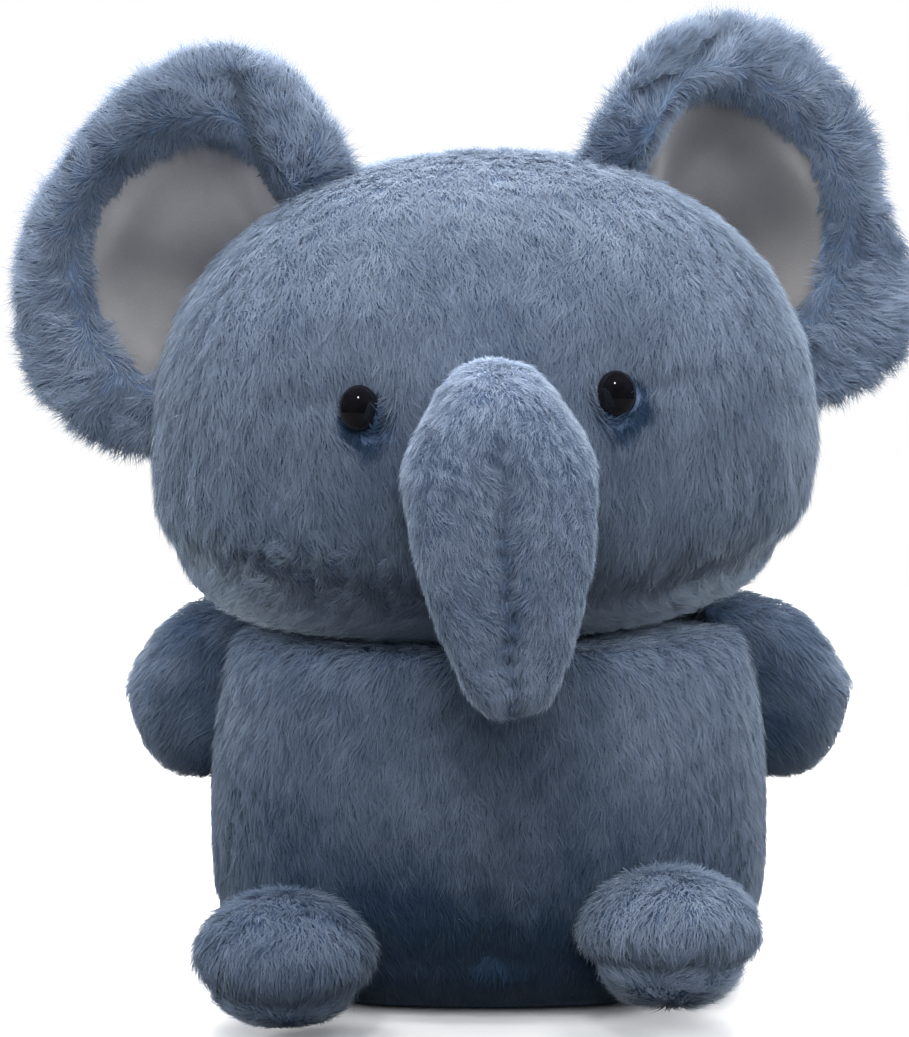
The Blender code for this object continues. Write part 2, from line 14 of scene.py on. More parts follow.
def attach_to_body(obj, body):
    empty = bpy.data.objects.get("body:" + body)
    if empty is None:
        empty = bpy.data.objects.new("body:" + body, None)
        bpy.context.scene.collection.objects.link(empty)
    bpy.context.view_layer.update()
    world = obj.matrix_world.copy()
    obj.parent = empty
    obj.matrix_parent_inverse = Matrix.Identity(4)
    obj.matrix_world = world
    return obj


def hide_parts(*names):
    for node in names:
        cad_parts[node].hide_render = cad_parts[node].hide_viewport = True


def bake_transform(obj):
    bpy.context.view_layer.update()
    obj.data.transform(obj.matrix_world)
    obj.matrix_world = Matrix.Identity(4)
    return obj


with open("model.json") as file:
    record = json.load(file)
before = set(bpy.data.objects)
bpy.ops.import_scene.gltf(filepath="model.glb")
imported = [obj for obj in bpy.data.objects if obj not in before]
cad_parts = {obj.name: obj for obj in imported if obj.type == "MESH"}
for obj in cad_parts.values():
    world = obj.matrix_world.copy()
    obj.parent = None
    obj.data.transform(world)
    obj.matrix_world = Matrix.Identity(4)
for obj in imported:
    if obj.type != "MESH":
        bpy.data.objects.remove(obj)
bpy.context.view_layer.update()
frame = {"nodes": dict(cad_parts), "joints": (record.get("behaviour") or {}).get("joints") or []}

NODES = frame["nodes"]
JOINTS = {joint["name"]: joint for joint in frame["joints"]}
SIDES = {"left": -1, "right": 1}

# Lengths are metres
PILE = 0.0022              # how far the cloth lies inside the outline of the fur
VOXEL = 0.0035             # mesh size of the head's and the body's skin
SEAM_HELD = 0.005          # how far round a seam the cloth is held while it is plumped
STRANDS_PER_PIECE = 64000
SIM_FRAMES = 20
FUR_UV = "OFBake"          # across: tone of the strand, up: root to tip

# How much strands differ: heading and lift in radians, roll about their length, share of length and width
HEADING_SPREAD = 0.27
LIFT_SPREAD = 0.10
ROLL_SPREAD = 0.5
LENGTH_SPREAD = 0.14
WIDTH_SPREAD = 0.2
STRAND_BEND = 0.45         # share of a strand's length below its bend
ROOT_DEPTH = 0.0005        # how deep in the cloth a strand starts
FLOOR_GAP = 0.0002         # no strand reaches lower than this
TONE_ACROSS = 0.012        # how far the tone differs between a strand's middle and its edge

# Linear colours
SLATE_DARK, SLATE_LIGHT = (0.038, 0.080, 0.152), (0.435, 0.515, 0.640)
TRUNK_DARK, TRUNK_LIGHT = (0.11, 0.17, 0.28), (0.51, 0.60, 0.74)
BACKING_DARK, BACKING_LIGHT = (0.075, 0.12, 0.20), (0.14, 0.20, 0.31)
MINKY_DARK, MINKY_LIGHT = (0.150, 0.151, 0.160), (0.205, 0.202, 0.206)
EYE_DARK, EYE_LIGHT = (0.003, 0.003, 0.004), (0.006, 0.006, 0.008)
THREAD_DARK, THREAD_LIGHT = (0.045, 0.065, 0.10), (0.08, 0.11, 0.16)
FUR_SHEEN = (0.80, 0.91, 1.0)
MINKY_SHEEN = (0.9, 0.88, 0.88)
PALE_FLOOR, FLOOR_TO_TOY = (0.9, 0.9, 0.9), (0.06, 0.06, 0.06)      # to the camera, and to the toy
SKY_LOW, SKY_HIGH = (0.190, 0.250, 0.345), (0.52, 0.57, 0.66)
SKY_REFLECTED = (0.012, 0.012, 0.014)
WHITE_LIGHT, WARM_LIGHT = (1, 1, 1), (1.0, 0.955, 0.90)

FLOOR_RADIUS = 0.65
FLOOR_FADE = (0.10, 0.34)  # from here to there the floor fades into white
LIGHT_TARGET = (0, 0, 0.12)


class Coat(NamedTuple):
    """How one kind of pile grows: strands per square millimetre, metres, and radians off the cloth."""
    density: float
    length: float
    width: float
    lift: float
    grain: float = 0.07    # how much the tone differs from strand to strand


SLEEK_COAT = Coat(6.2, 0.0058, 0.00021, 0.70)
LONG_COAT = Coat(5.2, 0.0062, 0.00022, 0.78)
TRUNK_COAT = Coat(9.0, 0.0038, 0.00018, 0.95, 0.22)


class Comb(NamedTuple):
    """How strands lie: direction, tone 0 to 1, shares of length and swirl, added lift, which to keep."""
    way: np.ndarray
    tone: np.ndarray
    length: np.ndarray
    ruffle: np.ndarray
    lift: np.ndarray
    keep: np.ndarray


def unit(v):
    """Rows scaled to length 1."""
    return v / np.maximum(np.linalg.norm(v, axis=-1, keepdims=True), 1e-9)


def smoothstep(low, high, value):
    """0 below low, 1 above high, smooth between."""
    t = np.clip((value - low) / (high - low), 0, 1)
    return t * t * (3 - 2 * t)


def waves(points, size, seed, count=7):
    """Smooth noise about 0, roughly -1 to 1, whose bumps are about this size."""
    own = np.random.default_rng(seed)
    total = np.zeros(len(points))
    for _ in range(count):
        way = unit(own.normal(size=3)) * 2 * math.pi / size * own.uniform(0.6, 1.5)
        total += np.sin(points @ way + own.uniform(0, 2 * math.pi))
    return total / math.sqrt(count)


# ---------------------------------------------------------------- where things are in the frame

class Stand:
    """A local frame: origin, and axes x to the right, y to the back and z up of that part."""

    def __init__(self, origin, x_axis, z_hint):
        x = unit(np.array(x_axis, float))
        y = unit(np.cross(np.array(z_hint, float), x))
        self.origin = np.array(origin, float)
        self.axes = np.stack([x, y, np.cross(x, y)])

    def inside(self, points):
        """World points in this frame."""
        return (points - self.origin) @ self.axes.T

    def turned(self, vectors):
        """World directions in this frame."""
        return vectors @ self.axes.T

    def outside(self, points):
        """Points of this frame in the world."""
        return points @ self.axes + self.origin

    def box(self, *names):
        """Lowest and highest corner of CAD nodes in this frame."""
        points = self.inside(node_points(*names))
        return points.min(0), points.max(0)


def mesh_points(mesh):
    """A mesh's vertices as rows."""
    points = np.empty(len(mesh.vertices) * 3, np.float32)
    mesh.vertices.foreach_get("co", points)
    return points.reshape(-1, 3).astype(float)


def mesh_normals(mesh):
    """A mesh's vertex normals as rows."""
    normals = np.empty(len(mesh.vertices) * 3, np.float32)
    mesh.vertex_normals.foreach_get("vector", normals)
    return normals.reshape(-1, 3).astype(float)


def node_points(*names):
    """The vertices of CAD nodes."""
    return np.concatenate([mesh_points(NODES[name].data) for name in names])


def seam_between(stand, low_node, high_node, axis):
    """Where two panels meet along one axis of a frame."""
    return (stand.box(low_node)[1][axis] + stand.box(high_node)[0][axis]) / 2


# ---------------------------------------------------------------- making skins

def add_mesh_object(name, mesh):
    """A mesh as an object in the scene."""
    made = bpy.data.objects.new(name, mesh)
    bpy.context.scene.collection.objects.link(made)
    return made


def bake_modifiers(obj):
    """Turn what the modifiers show into the object's own mesh."""
    depsgraph = bpy.context.evaluated_depsgraph_get()
    made = bpy.data.meshes.new_from_object(obj.evaluated_get(depsgraph))
    obj.modifiers.clear()
    obj.data = made


def hull_of(name, nodes, extra=()):
    """The closed convex shape round CAD nodes and any extra points."""
    bm = bmesh.new()
    for point in [*node_points(*nodes), *extra]:
        bm.verts.new(point)
    made = bmesh.ops.convex_hull(bm, input=bm.verts)
    loose = {piece for piece in made["geom_interior"] + made["geom_unused"]
             if isinstance(piece, bmesh.types.BMVert)}
    bmesh.ops.delete(bm, geom=list(loose), context='VERTS')
    mesh = bpy.data.meshes.new(name)
    bm.to_mesh(mesh)
    bm.free()
    return add_mesh_object(name, mesh)


def joined_copy(name, nodes):
    """One object holding copies of CAD nodes' meshes."""
    bm = bmesh.new()
    for node in nodes:
        bm.from_mesh(NODES[node].data)
    mesh = bpy.data.meshes.new(name)
    bm.to_mesh(mesh)
    bm.free()
    return add_mesh_object(name, mesh)


def even_mesh(obj, voxel=VOXEL, smooth=14):
    """Remesh to even squares and soften the facets."""
    remesh = obj.modifiers.new("even", 'REMESH')
    remesh.mode = 'VOXEL'
    remesh.voxel_size = voxel
    soften = obj.modifiers.new("soften", 'SMOOTH')
    soften.factor = 0.5
    soften.iterations = smooth
    bake_modifiers(obj)


def plump(obj, held, most=0.0018, pressure=4.0):
    """Fill closed cloth with air by simulation.  held, 0 to 1, says how firmly seams keep their place."""
    rest = mesh_points(obj.data)
    group = obj.vertex_groups.new(name="seams")
    for number in np.nonzero(held > 0.02)[0]:
        group.add([int(number)], float(held[number]), 'REPLACE')
    cloth = obj.modifiers.new("stuffed", 'CLOTH')
    settings = cloth.settings
    settings.quality = 4
    settings.vertex_group_mass = group.name
    settings.use_pressure = True
    settings.uniform_pressure_force = pressure
    settings.effector_weights.gravity = 0
    cloth.collision_settings.use_collision = False
    cloth.point_cache.frame_end = SIM_FRAMES
    for moment in range(1, SIM_FRAMES + 1):
        bpy.context.scene.frame_set(moment)
    bake_modifiers(obj)
    obj.vertex_groups.clear()
    bpy.context.scene.frame_set(1)
    moved = mesh_points(obj.data) - rest
    far = np.linalg.norm(moved, axis=1, keepdims=True)
    move_points(obj, rest + moved * np.minimum(1, most / np.maximum(far, 1e-9)))


def near(distance, width):
    """1 on a seam, falling to 0 a few widths away."""
    return np.exp(-(distance / width) ** 2)


def subdivide(obj):
    """One smooth subdivision, applied."""
    finer = obj.modifiers.new("finer", 'SUBSURF')
    finer.levels = 1
    finer.render_levels = 1
    bake_modifiers(obj)


def move_points(obj, points):
    """Write a mesh's vertices back."""
    obj.data.vertices.foreach_set("co", points.astype(np.float32).ravel())
    obj.data.update()


def push(obj, amounts):
    """Move each vertex along its normal."""
    move_points(obj, mesh_points(obj.data) + mesh_normals(obj.data) * np.reshape(amounts, (-1, 1)))


def pinch(distance, width, depth):
    """How far a seam pulls the cloth in, at a distance from the seam."""
    return -depth * near(distance, width)


def stitch_rings(bm, rings):
    """Faces between rings of vertices.  The first ring is a single vertex."""
    around = len(rings[1])
    for inner, outer in zip(rings, rings[1:]):
        for turn in range(around):
            after = (turn + 1) % around
            if len(inner) == 1:
                bm.faces.new((inner[0], outer[turn], outer[after]))
            else:
                bm.faces.new((inner[turn], outer[turn], outer[after], inner[after]))


# ---------------------------------------------------------------- fur

def scatter(mesh, density, seed):
    """Random points on a mesh, even by area, with smooth normals."""
    own = np.random.default_rng(seed)
    mesh.calc_loop_triangles()
    corners = np.empty(len(mesh.loop_triangles) * 3, np.int32)
    mesh.loop_triangles.foreach_get("vertices", corners)
    corners = corners.reshape(-1, 3)
    points, normals = mesh_points(mesh), mesh_normals(mesh)
    a, b, c = (points[corners[:, k]] for k in range(3))
    area = np.linalg.norm(np.cross(b - a, c - a), axis=1) / 2
    total = int(density * area.sum() * 1e6)
    pick = own.choice(len(corners), total, p=area / area.sum())
    u, v = own.random(total), own.random(total)
    fold = u + v > 1
    u[fold], v[fold] = 1 - u[fold], 1 - v[fold]
    weights = np.stack([1 - u - v, u, v], 1)[:, :, None]
    chosen = corners[pick]
    return (points[chosen] * weights).sum(1), unit((normals[chosen] * weights).sum(1))


def lean(normals, heading, angle):
    """Directions this far off the cloth, in the plane of the normal and the heading."""
    return heading * np.cos(angle)[:, None] + normals * np.sin(angle)[:, None]


def grow_fur(name, skin, coat, comb, body, seed, material):
    """Cover a skin with strands: tapered ribbons that rise from the cloth and lie over at the tip."""
    own = np.random.default_rng(seed)
    roots, normals = scatter(skin.data, coat.density, seed)
    combed = comb(roots, normals)
    live = combed.keep
    roots, normals = roots[live], normals[live]
    way, tone, share, ruffle, lift = (field[live] for field in combed[:5])
    count = len(roots)
    along = unit(way - (way * normals).sum(1, keepdims=True) * normals)
    swirl = (waves(roots, 0.006, seed + 1) + waves(roots, 0.016, seed + 2)) * 0.45 * ruffle
    swirl += own.normal(0, HEADING_SPREAD, count)
    heading = along * np.cos(swirl)[:, None] + np.cross(normals, along) * np.sin(swirl)[:, None]
    rise = coat.lift + lift + 0.14 * waves(roots, 0.005, seed + 3) * (0.5 + ruffle)
    rise = np.clip(rise + own.normal(0, LIFT_SPREAD, count), 0.12, 1.35)
    long = coat.length * share * np.clip(own.normal(1, LENGTH_SPREAD, count), 0.6, 1.5)
    first = lean(normals, heading, rise)
    second = lean(normals, heading, rise * 0.25)
    start = roots - normals * ROOT_DEPTH
    middle = start + first * (long * STRAND_BEND)[:, None]
    tip = middle + second * (long * (1 - STRAND_BEND))[:, None]
    roll = own.normal(0, ROLL_SPREAD, count)
    flat = unit(np.cross(heading, normals))
    side = flat * np.cos(roll)[:, None] + np.cross(first, flat) * np.sin(roll)[:, None]
    half = (coat.width / 2 * np.clip(own.normal(1, WIDTH_SPREAD, count), 0.5, 1.6))[:, None]
    points = np.stack([start - side * half, start + side * half,
                       middle + side * half * 0.85, middle - side * half * 0.85, tip], 1)
    points[:, :, 2] = np.maximum(points[:, :, 2], FLOOR_GAP)
    shading = unit(normals + 0.35 * second + own.normal(0, 0.12, (count, 3)))
    shade = np.clip(tone + own.normal(0, coat.grain, count), 0.03, 0.97)
    for number, begin in enumerate(range(0, count, STRANDS_PER_PIECE), 1):
        part = slice(begin, begin + STRANDS_PER_PIECE)
        piece = strand_object(f"{name}_{number}", points[part], shading[part], shade[part], material)
        attach(piece, body)


def attach(piece, body):
    """Tie a piece to one body.  A piece between two bodies, given as (inner body, outer body, start, end),
    is not bent: its placing is only applied to its mesh.
    """
    if isinstance(body, str):
        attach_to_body(piece, body)
    else:
        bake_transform(piece)


def strand_object(name, points, normals, shade, material):
    """A mesh of strands from five points each: a root edge, a middle edge and a tip."""
    count = len(points)
    first = np.arange(count, dtype=np.int32)[:, None]
    corners = (first * 5 + np.array([0, 1, 2, 3, 3, 2, 4], np.int32)).ravel()
    starts = (first * 7 + np.array([0, 4], np.int32)).ravel()
    mesh = bpy.data.meshes.new(name)
    mesh.vertices.add(count * 5)
    mesh.vertices.foreach_set("co", points.astype(np.float32).ravel())
    mesh.loops.add(count * 7)
    mesh.loops.foreach_set("vertex_index", corners)
    mesh.polygons.add(count * 2)
    mesh.polygons.foreach_set("loop_start", starts)
    mesh.update(calc_edges=True)
    uv = mesh.uv_layers.new(name=FUR_UV)
    across = np.array([-1, 1, 1, -1, -1, 1, 0], np.float32) * TONE_ACROSS
    values = np.empty((count, 7, 2), np.float32)
    values[:, :, 0] = shade[:, None] + across
    values[:, :, 1] = (0.01, 0.01, 0.5, 0.5, 0.5, 0.5, 0.99)
    uv.data.foreach_set("uv", values.ravel())
    soft = mesh.attributes.new("custom_normal", 'FLOAT_VECTOR', 'POINT')
    soft.data.foreach_set("vector", np.repeat(normals.astype(np.float32), 5, axis=0).ravel())
    mesh.materials.append(material)
    return add_mesh_object(name, mesh)


# ---------------------------------------------------------------- materials

def node_material(name):
    """An empty Principled material and a helper to add nodes to it."""
    made = bpy.data.materials.new(name)
    made.use_nodes = True
    tree = made.node_tree
    return made, tree, tree.nodes["Principled BSDF"]


def colour_ramp(tree, factor, stops):
    """A colour ramp between (place, colour) stops."""
    ramp = tree.nodes.new("ShaderNodeValToRGB")
    elements = ramp.color_ramp.elements
    while len(elements) < len(stops):
        elements.new(0.5)
    for element, (place, colour) in zip(elements, stops):
        element.position = place
        element.color = (*colour, 1)
    tree.links.new(factor, ramp.inputs["Fac"])
    return ramp.outputs["Color"]


def add_texture(tree, kind, scale, detail=2):
    """A procedural texture fixed to the object."""
    place = tree.nodes.new("ShaderNodeTexCoord")
    texture = tree.nodes.new(kind)
    texture.inputs["Scale"].default_value = scale
    texture.inputs["Detail"].default_value = detail
    tree.links.new(place.outputs["Object"], texture.inputs["Vector"])
    return texture.outputs["Fac"]


def add_bump(tree, shader, height, strength, distance):
    """Relief too fine for the mesh."""
    bump = tree.nodes.new("ShaderNodeBump")
    bump.inputs["Strength"].default_value = strength
    bump.inputs["Distance"].default_value = distance
    tree.links.new(height, bump.inputs["Height"])
    tree.links.new(bump.outputs["Normal"], shader.inputs["Normal"])


def shaded(colour, share):
    """A colour made darker or lighter."""
    return tuple(part * share for part in colour)


def strand_material(name, root, dark, light, tip=1.2):
    """Fur strands: darker at the root, which is painted shade deep in the pile, paler at the tip, each its
    own tone, and light shines through.
    """
    made, tree, shader = node_material(name)
    place = tree.nodes.new("ShaderNodeUVMap")
    place.uv_map = FUR_UV
    split = tree.nodes.new("ShaderNodeSeparateXYZ")
    tree.links.new(place.outputs["UV"], split.inputs[0])
    tones = colour_ramp(tree, split.outputs["X"], [(0, dark), (1, light)])
    # Painted shade: the strand is darkened from the root up to its bend; root says how dark at the root
    shading = colour_ramp(tree, split.outputs["Y"],
                          [(0, (root,) * 3), (STRAND_BEND, (0.9,) * 3), (1, (tip,) * 3)])
    mix = tree.nodes.new("ShaderNodeMix")
    mix.data_type = 'RGBA'
    mix.blend_type = 'MULTIPLY'
    mix.inputs["Factor"].default_value = 1
    tree.links.new(tones, mix.inputs["A"])
    tree.links.new(shading, mix.inputs["B"])
    tree.links.new(mix.outputs["Result"], shader.inputs["Base Color"])
    shader.inputs["Roughness"].default_value = 0.8
    shader.inputs["Specular IOR Level"].default_value = 0.2
    shader.inputs["Sheen Weight"].default_value = 0.55
    shader.inputs["Sheen Roughness"].default_value = 0.40
    shader.inputs["Sheen Tint"].default_value = (*FUR_SHEEN, 1)
    through = tree.nodes.new("ShaderNodeBsdfTranslucent")
    tree.links.new(mix.outputs["Result"], through.inputs["Color"])
    both = tree.nodes.new("ShaderNodeMixShader")
    both.inputs["Fac"].default_value = 0.45
    tree.links.new(shader.outputs[0], both.inputs[1])
    tree.links.new(through.outputs[0], both.inputs[2])
    tree.links.new(both.outputs[0], tree.nodes["Material Output"].inputs["Surface"])
    return made


def backing_material(name, dark, light):
    """The woven ground of the pile seen between strands: fine streaks and a rough bump."""
    made, tree, shader = node_material(name)
    noise = add_texture(tree, "ShaderNodeTexNoise", 900, 4)
    colour = colour_ramp(tree, noise, [(0.3, dark), (0.75, light)])
    tree.links.new(colour, shader.inputs["Base Color"])
    add_bump(tree, shader, noise, 0.6, 0.0006)
    shader.inputs["Roughness"].default_value = 1.0
    shader.inputs["Specular IOR Level"].default_value = 0.1
    return made


def minky_material(name, shade):
    """Short smooth pile of an ear lining: soft sheen, faint nap and grain.  Below 1, shade darkens the whole
    colour as painted shade.
    """
    made, tree, shader = node_material(name)
    fine = add_texture(tree, "ShaderNodeTexNoise", 1800, 3)
    broad = add_texture(tree, "ShaderNodeTexNoise", 60)
    grain = 0.35               # share of the fine noise in the colour
    blend = tree.nodes.new("ShaderNodeMath")
    blend.operation = 'MULTIPLY_ADD'
    blend.inputs[1].default_value = grain
    tree.links.new(fine, blend.inputs[0])
    scaled = tree.nodes.new("ShaderNodeMath")
    scaled.operation = 'MULTIPLY'
    scaled.inputs[1].default_value = 1 - grain
    tree.links.new(broad, scaled.inputs[0])
    tree.links.new(scaled.outputs[0], blend.inputs[2])
    stops = [(0.3, shaded(MINKY_DARK, shade)), (0.7, shaded(MINKY_LIGHT, shade))]
    colour = colour_ramp(tree, blend.outputs[0], stops)
    tree.links.new(colour, shader.inputs["Base Color"])
    add_bump(tree, shader, fine, 0.25, 0.0003)
    shader.inputs["Roughness"].default_value = 0.9
    shader.inputs["Sheen Weight"].default_value = 0.5
    shader.inputs["Sheen Roughness"].default_value = 0.5
    shader.inputs["Sheen Tint"].default_value = (*MINKY_SHEEN, 1)
    return made


def eye_material():
    """Polished black plastic with a trace of scuffing."""
    made, tree, shader = node_material("eye_gloss")
    noise = add_texture(tree, "ShaderNodeTexNoise", 400)
    colour = colour_ramp(tree, noise, [(0.3, EYE_DARK), (0.8, EYE_LIGHT)])
    tree.links.new(colour, shader.inputs["Base Color"])
    shader.inputs["Roughness"].default_value = 0.06
    shader.inputs["Specular IOR Level"].default_value = 0.35
    return made


def thread_material():
    """Slate sewing thread, twisted."""
    made, tree, shader = node_material("thread")
    wave = add_texture(tree, "ShaderNodeTexWave", 600)
    colour = colour_ramp(tree, wave, [(0.2, THREAD_DARK), (0.8, THREAD_LIGHT)])
    tree.links.new(colour, shader.inputs["Base Color"])
    shader.inputs["Roughness"].default_value = 0.7
    return made


# The number after each name is the painted shade at the strands' roots
FUR = strand_material("slate_fur", 0.9, SLATE_DARK, SLATE_LIGHT)
TRUNK_FUR = strand_material("trunk_fur", 0.7, TRUNK_DARK, TRUNK_LIGHT)
BACKING = backing_material("slate_backing", BACKING_DARK, BACKING_LIGHT)
# The right lining is the same cloth painted a third darker: painted shade for its deeper, overhung pocket
MINKY = {"left": minky_material("minky_left", 1.0), "right": minky_material("minky_right_shaded", 0.66)}
EYE = eye_material()
THREAD = thread_material()


# ---------------------------------------------------------------- parts

LINING_REACH = 0.0340
LINING_INWARD = 0.0080                             # from the CAD lining's middle towards the head
LINING_RAISE = {"left": -0.0005, "right": 0.0040}  # and up the ear
EAR_CUP = {"left": 0.0080, "right": 0.0120}        # how far the middle of the ear is set back
EAR_LEAN = {"left": 0.0050, "right": 0.0080}       # how far the top comes forward over the lining
EAR_PULL, EAR_PULL_REACH = 0.014, 0.036            # how the root is drawn in under the head's fur
# How an ear differs from the round CAD one: degrees round it, how wide, share of the radius
EAR_SWELLS = {"left": ((8, 30, -0.11), (-84, 34, 0.12), (62, 16, 0.035), (112, 18, -0.06)),
              "right": ((40, 28, 0.07), (-29, 14, -0.10), (-78, 22, 0.11))}
# Both ends of an ear's crease, out and up from the middle of its lining
EAR_CREASES = {"left": ((0.021, 0.041), (-0.004, 0.021)), "right": ((0.040, 0.035), (0.001, 0.037))}
# Both ears are one cloth: the left ear's fur is painted lighter and the right's darker, painted light and
# shade
EAR_TONE_AND_SHADE = {"left": 0.66, "right": 0.50}
# Both feet are one cloth: the left foot's lower tone is painted shade
FOOT_TONE_AND_SHADE = {"left": 0.38, "right": 0.60}
FOOT_WIDER = 1.06          # share of the CAD foot's width
# An eye's dome against the CAD eye: moved by, share of its radius and height, how far round it goes
DOME_OFFSET = (-0.0012, 0.0016, 0)
DOME_SHARE = 0.94
DOME_TALLER = 1.20
DOME_ANGLE = math.radians(115)


def parts_named(prefix):
    """CAD nodes whose names start this way."""
    return [name for name in NODES if name.startswith(prefix)]


def finish_skin(obj, body, nodes):
    """Material and links of a skin."""
    obj.data.materials.clear()
    obj.data.materials.append(BACKING)
    obj.data.shade_smooth()
    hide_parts(*nodes)
    attach(obj, body)


def rows(x, y, z):
    """Vectors from three components, each a number or an array."""
    return np.stack(np.broadcast_arrays(x, y, z), 1).astype(float)


def surface_tree(mesh):
    """A search tree over a mesh."""
    return BVHTree.FromPolygons([v.co for v in mesh.vertices], [p.vertices for p in mesh.polygons])


def drawn_to(points, tree, most, reach):
    """Points within reach of a surface, drawn towards it: the nearest by this much."""
    moved = points.copy()
    for number, point in enumerate(points):
        place, _, _, far = tree.find_nearest(Vector(point), reach)
        if place is not None:
            moved[number] += unit(np.array(place) - point) * most * smoothstep(reach, reach / 4, far)
    return moved


def signed_depth(points, tree, reach):
    """How deep each point is under a closed surface: negative outside, cut off at reach."""
    depth = np.full(len(points), -reach)
    for number, point in enumerate(points):
        place, normal, _, far = tree.find_nearest(Vector(point), reach)
        if place is not None:
            depth[number] = math.copysign(far, (place - Vector(point)).dot(normal))
    return depth


def head_stand():
    """The head's own frame: leaning, with its origin on the neck."""
    turn = JOINTS["head_turn"]
    return Stand(turn["pos_m"], -np.array(JOINTS["trunk_lift"]["axis"]), turn["axis"])


HEAD = head_stand()
HEAD_CHIN_Z = seam_between(HEAD, "head_chin_panel", "head_face_panel", 2)
HEAD_SIDE_Y = seam_between(HEAD, "head_face_panel", "head_back_left_panel", 1)
HEAD_REACH_X = HEAD.box(*parts_named("head_"))[1][0]
CROWN_PART_Y = HEAD_SIDE_Y + 0.012         # where the fur parts on the crown


def chin_line(q):
    """Height of the chin seam's crease: it rises towards the cheeks, more on the left."""
    rise = np.where(q[:, 0] < 0, 0.010, 0.004)
    return HEAD_CHIN_Z - 0.002 + rise * smoothstep(0.018, 0.072, np.abs(q[:, 0]))


def eye_place(side):
    """Middle of an eye's rim in the head's frame, and its radius."""
    low, high = HEAD.box(f"eye_{side}")
    radius = (high[0] - low[0]) / 2
    return np.array([(low[0] + high[0]) / 2, low[1] + radius, (low[2] + high[2]) / 2]), radius


def build_head(trunk_skin):
    """Head skin with its seams pinched in, and its fur."""
    nodes = parts_named("head_")
    skin = hull_of("head_skin", nodes)
    even_mesh(skin)
    q = HEAD.inside(mesh_points(skin.data))
    chin = near(q[:, 2] - chin_line(q), SEAM_HELD) * (q[:, 1] < HEAD_SIDE_Y)
    held = np.maximum(near(q[:, 1] - HEAD_SIDE_Y, SEAM_HELD), chin)
    plump(skin, np.maximum(held, near(q[:, 0], SEAM_HELD) * (q[:, 1] > HEAD_SIDE_Y)))
    subdivide(skin)
    push(skin, np.full(len(skin.data.vertices), -PILE))
    shape_head(skin)
    finish_skin(skin, "head", nodes)
    trunk_tree = surface_tree(trunk_skin.data)

    def comb(roots, normals):
        return comb_head(roots, normals, trunk_tree)

    grow_fur("head_fur", skin, SLEEK_COAT, comb, "head", 40, FUR)


def shape_head(skin):
    """Push out the jowls, and pinch in the seams, the eye sockets and the darts beside them."""
    q = HEAD.inside(mesh_points(skin.data))
    front = smoothstep(HEAD_SIDE_Y + 0.004, HEAD_SIDE_Y - 0.004, q[:, 1])
    jowl = np.exp(-((q[:, 2] - 0.024) / 0.016) ** 2) * smoothstep(0.035, 0.066, np.abs(q[:, 0]))
    fuller = np.where(q[:, 0] < 0, 0.0016, -0.0010)
    depth = fuller * jowl + pinch(q[:, 2] - chin_line(q), 0.006, 0.0022) * front
    depth += pinch(q[:, 1] - HEAD_SIDE_Y, 0.005, 0.0010)
    depth += pinch(q[:, 0], 0.005, 0.0016) * (1 - front)
    for side in SIDES:
        centre, radius = eye_place(side)
        depth += pinch(np.linalg.norm(q - centre, axis=1), radius * 1.8, 0.0014)
        outward = (q[:, 0] - centre[0]) * SIDES[side]
        dart = smoothstep(0, 0.006, outward) * smoothstep(0.034, 0.012, outward)
        depth += pinch(q[:, 2] - centre[2] - 0.003, 0.0035, 0.0009) * dart * front
    push(skin, depth)


def comb_head(roots, normals, trunk_tree):
    """Head fur: parted on the crown, down the face, ruffled over the chin seam, short beside the trunk, and
    paler on top as painted light.
    """
    q, n = HEAD.inside(roots), HEAD.turned(normals)
    front = q[:, 1] < HEAD_SIDE_Y
    seam = q[:, 2] - chin_line(q)
    parted = 0.1 + 0.8 * np.tanh((q[:, 1] - CROWN_PART_Y) / 0.020)
    way = rows(-0.42 * q[:, 0] / HEAD_REACH_X, parted * np.clip(n[:, 2], 0, 1), -1.0)
    chin_way = rows(0.7 * np.sign(q[:, 0]), 0.3, -0.6)
    under = (smoothstep(0.004, -0.004, seam) * front)[:, None]
    way = way * (1 - under) + chin_way * under
    tuft = np.exp(-((seam - 0.006) / 0.008) ** 2) * front
    tuft *= smoothstep(0.000, -0.030, q[:, 0]) * smoothstep(-0.070, -0.050, q[:, 0]) + 0.2
    length = 1 - 0.25 * tuft
    ruffle = 0.4 + 1.7 * tuft
    part = near(q[:, 1] - CROWN_PART_Y, 0.010)
    lift = 0.45 * tuft + (0.65 * part - 0.30) * smoothstep(0.6, 0.95, n[:, 2])
    # Painted light: fur that faces up, on the crown, is made paler
    tone = 0.56 + 0.12 * smoothstep(0.75, 1.0, n[:, 2])
    tone += 0.07 * waves(q, 0.030, 31) + 0.05 * waves(q, 0.010, 32) - 0.09 * tuft
    combed = Comb(way, tone, length, ruffle, lift, np.ones(len(q), bool))
    for side in SIDES:
        combed = comb_eye(combed, side, q, front)
    gap = 0.012                # how close to the trunk the fur gets shorter
    close = np.nonzero(np.linalg.norm(roots - JOINTS["trunk_lift"]["pos_m"], axis=1) < 0.075)[0]
    depth = signed_depth(roots[close], trunk_tree, gap)
    combed.keep[close[depth > -0.0006]] = False
    shorter = np.ones(len(q))
    shorter[close] = 1 - 0.45 * smoothstep(-gap, -0.002, depth)
    return combed._replace(way=combed.way @ HEAD.axes, length=combed.length * shorter)


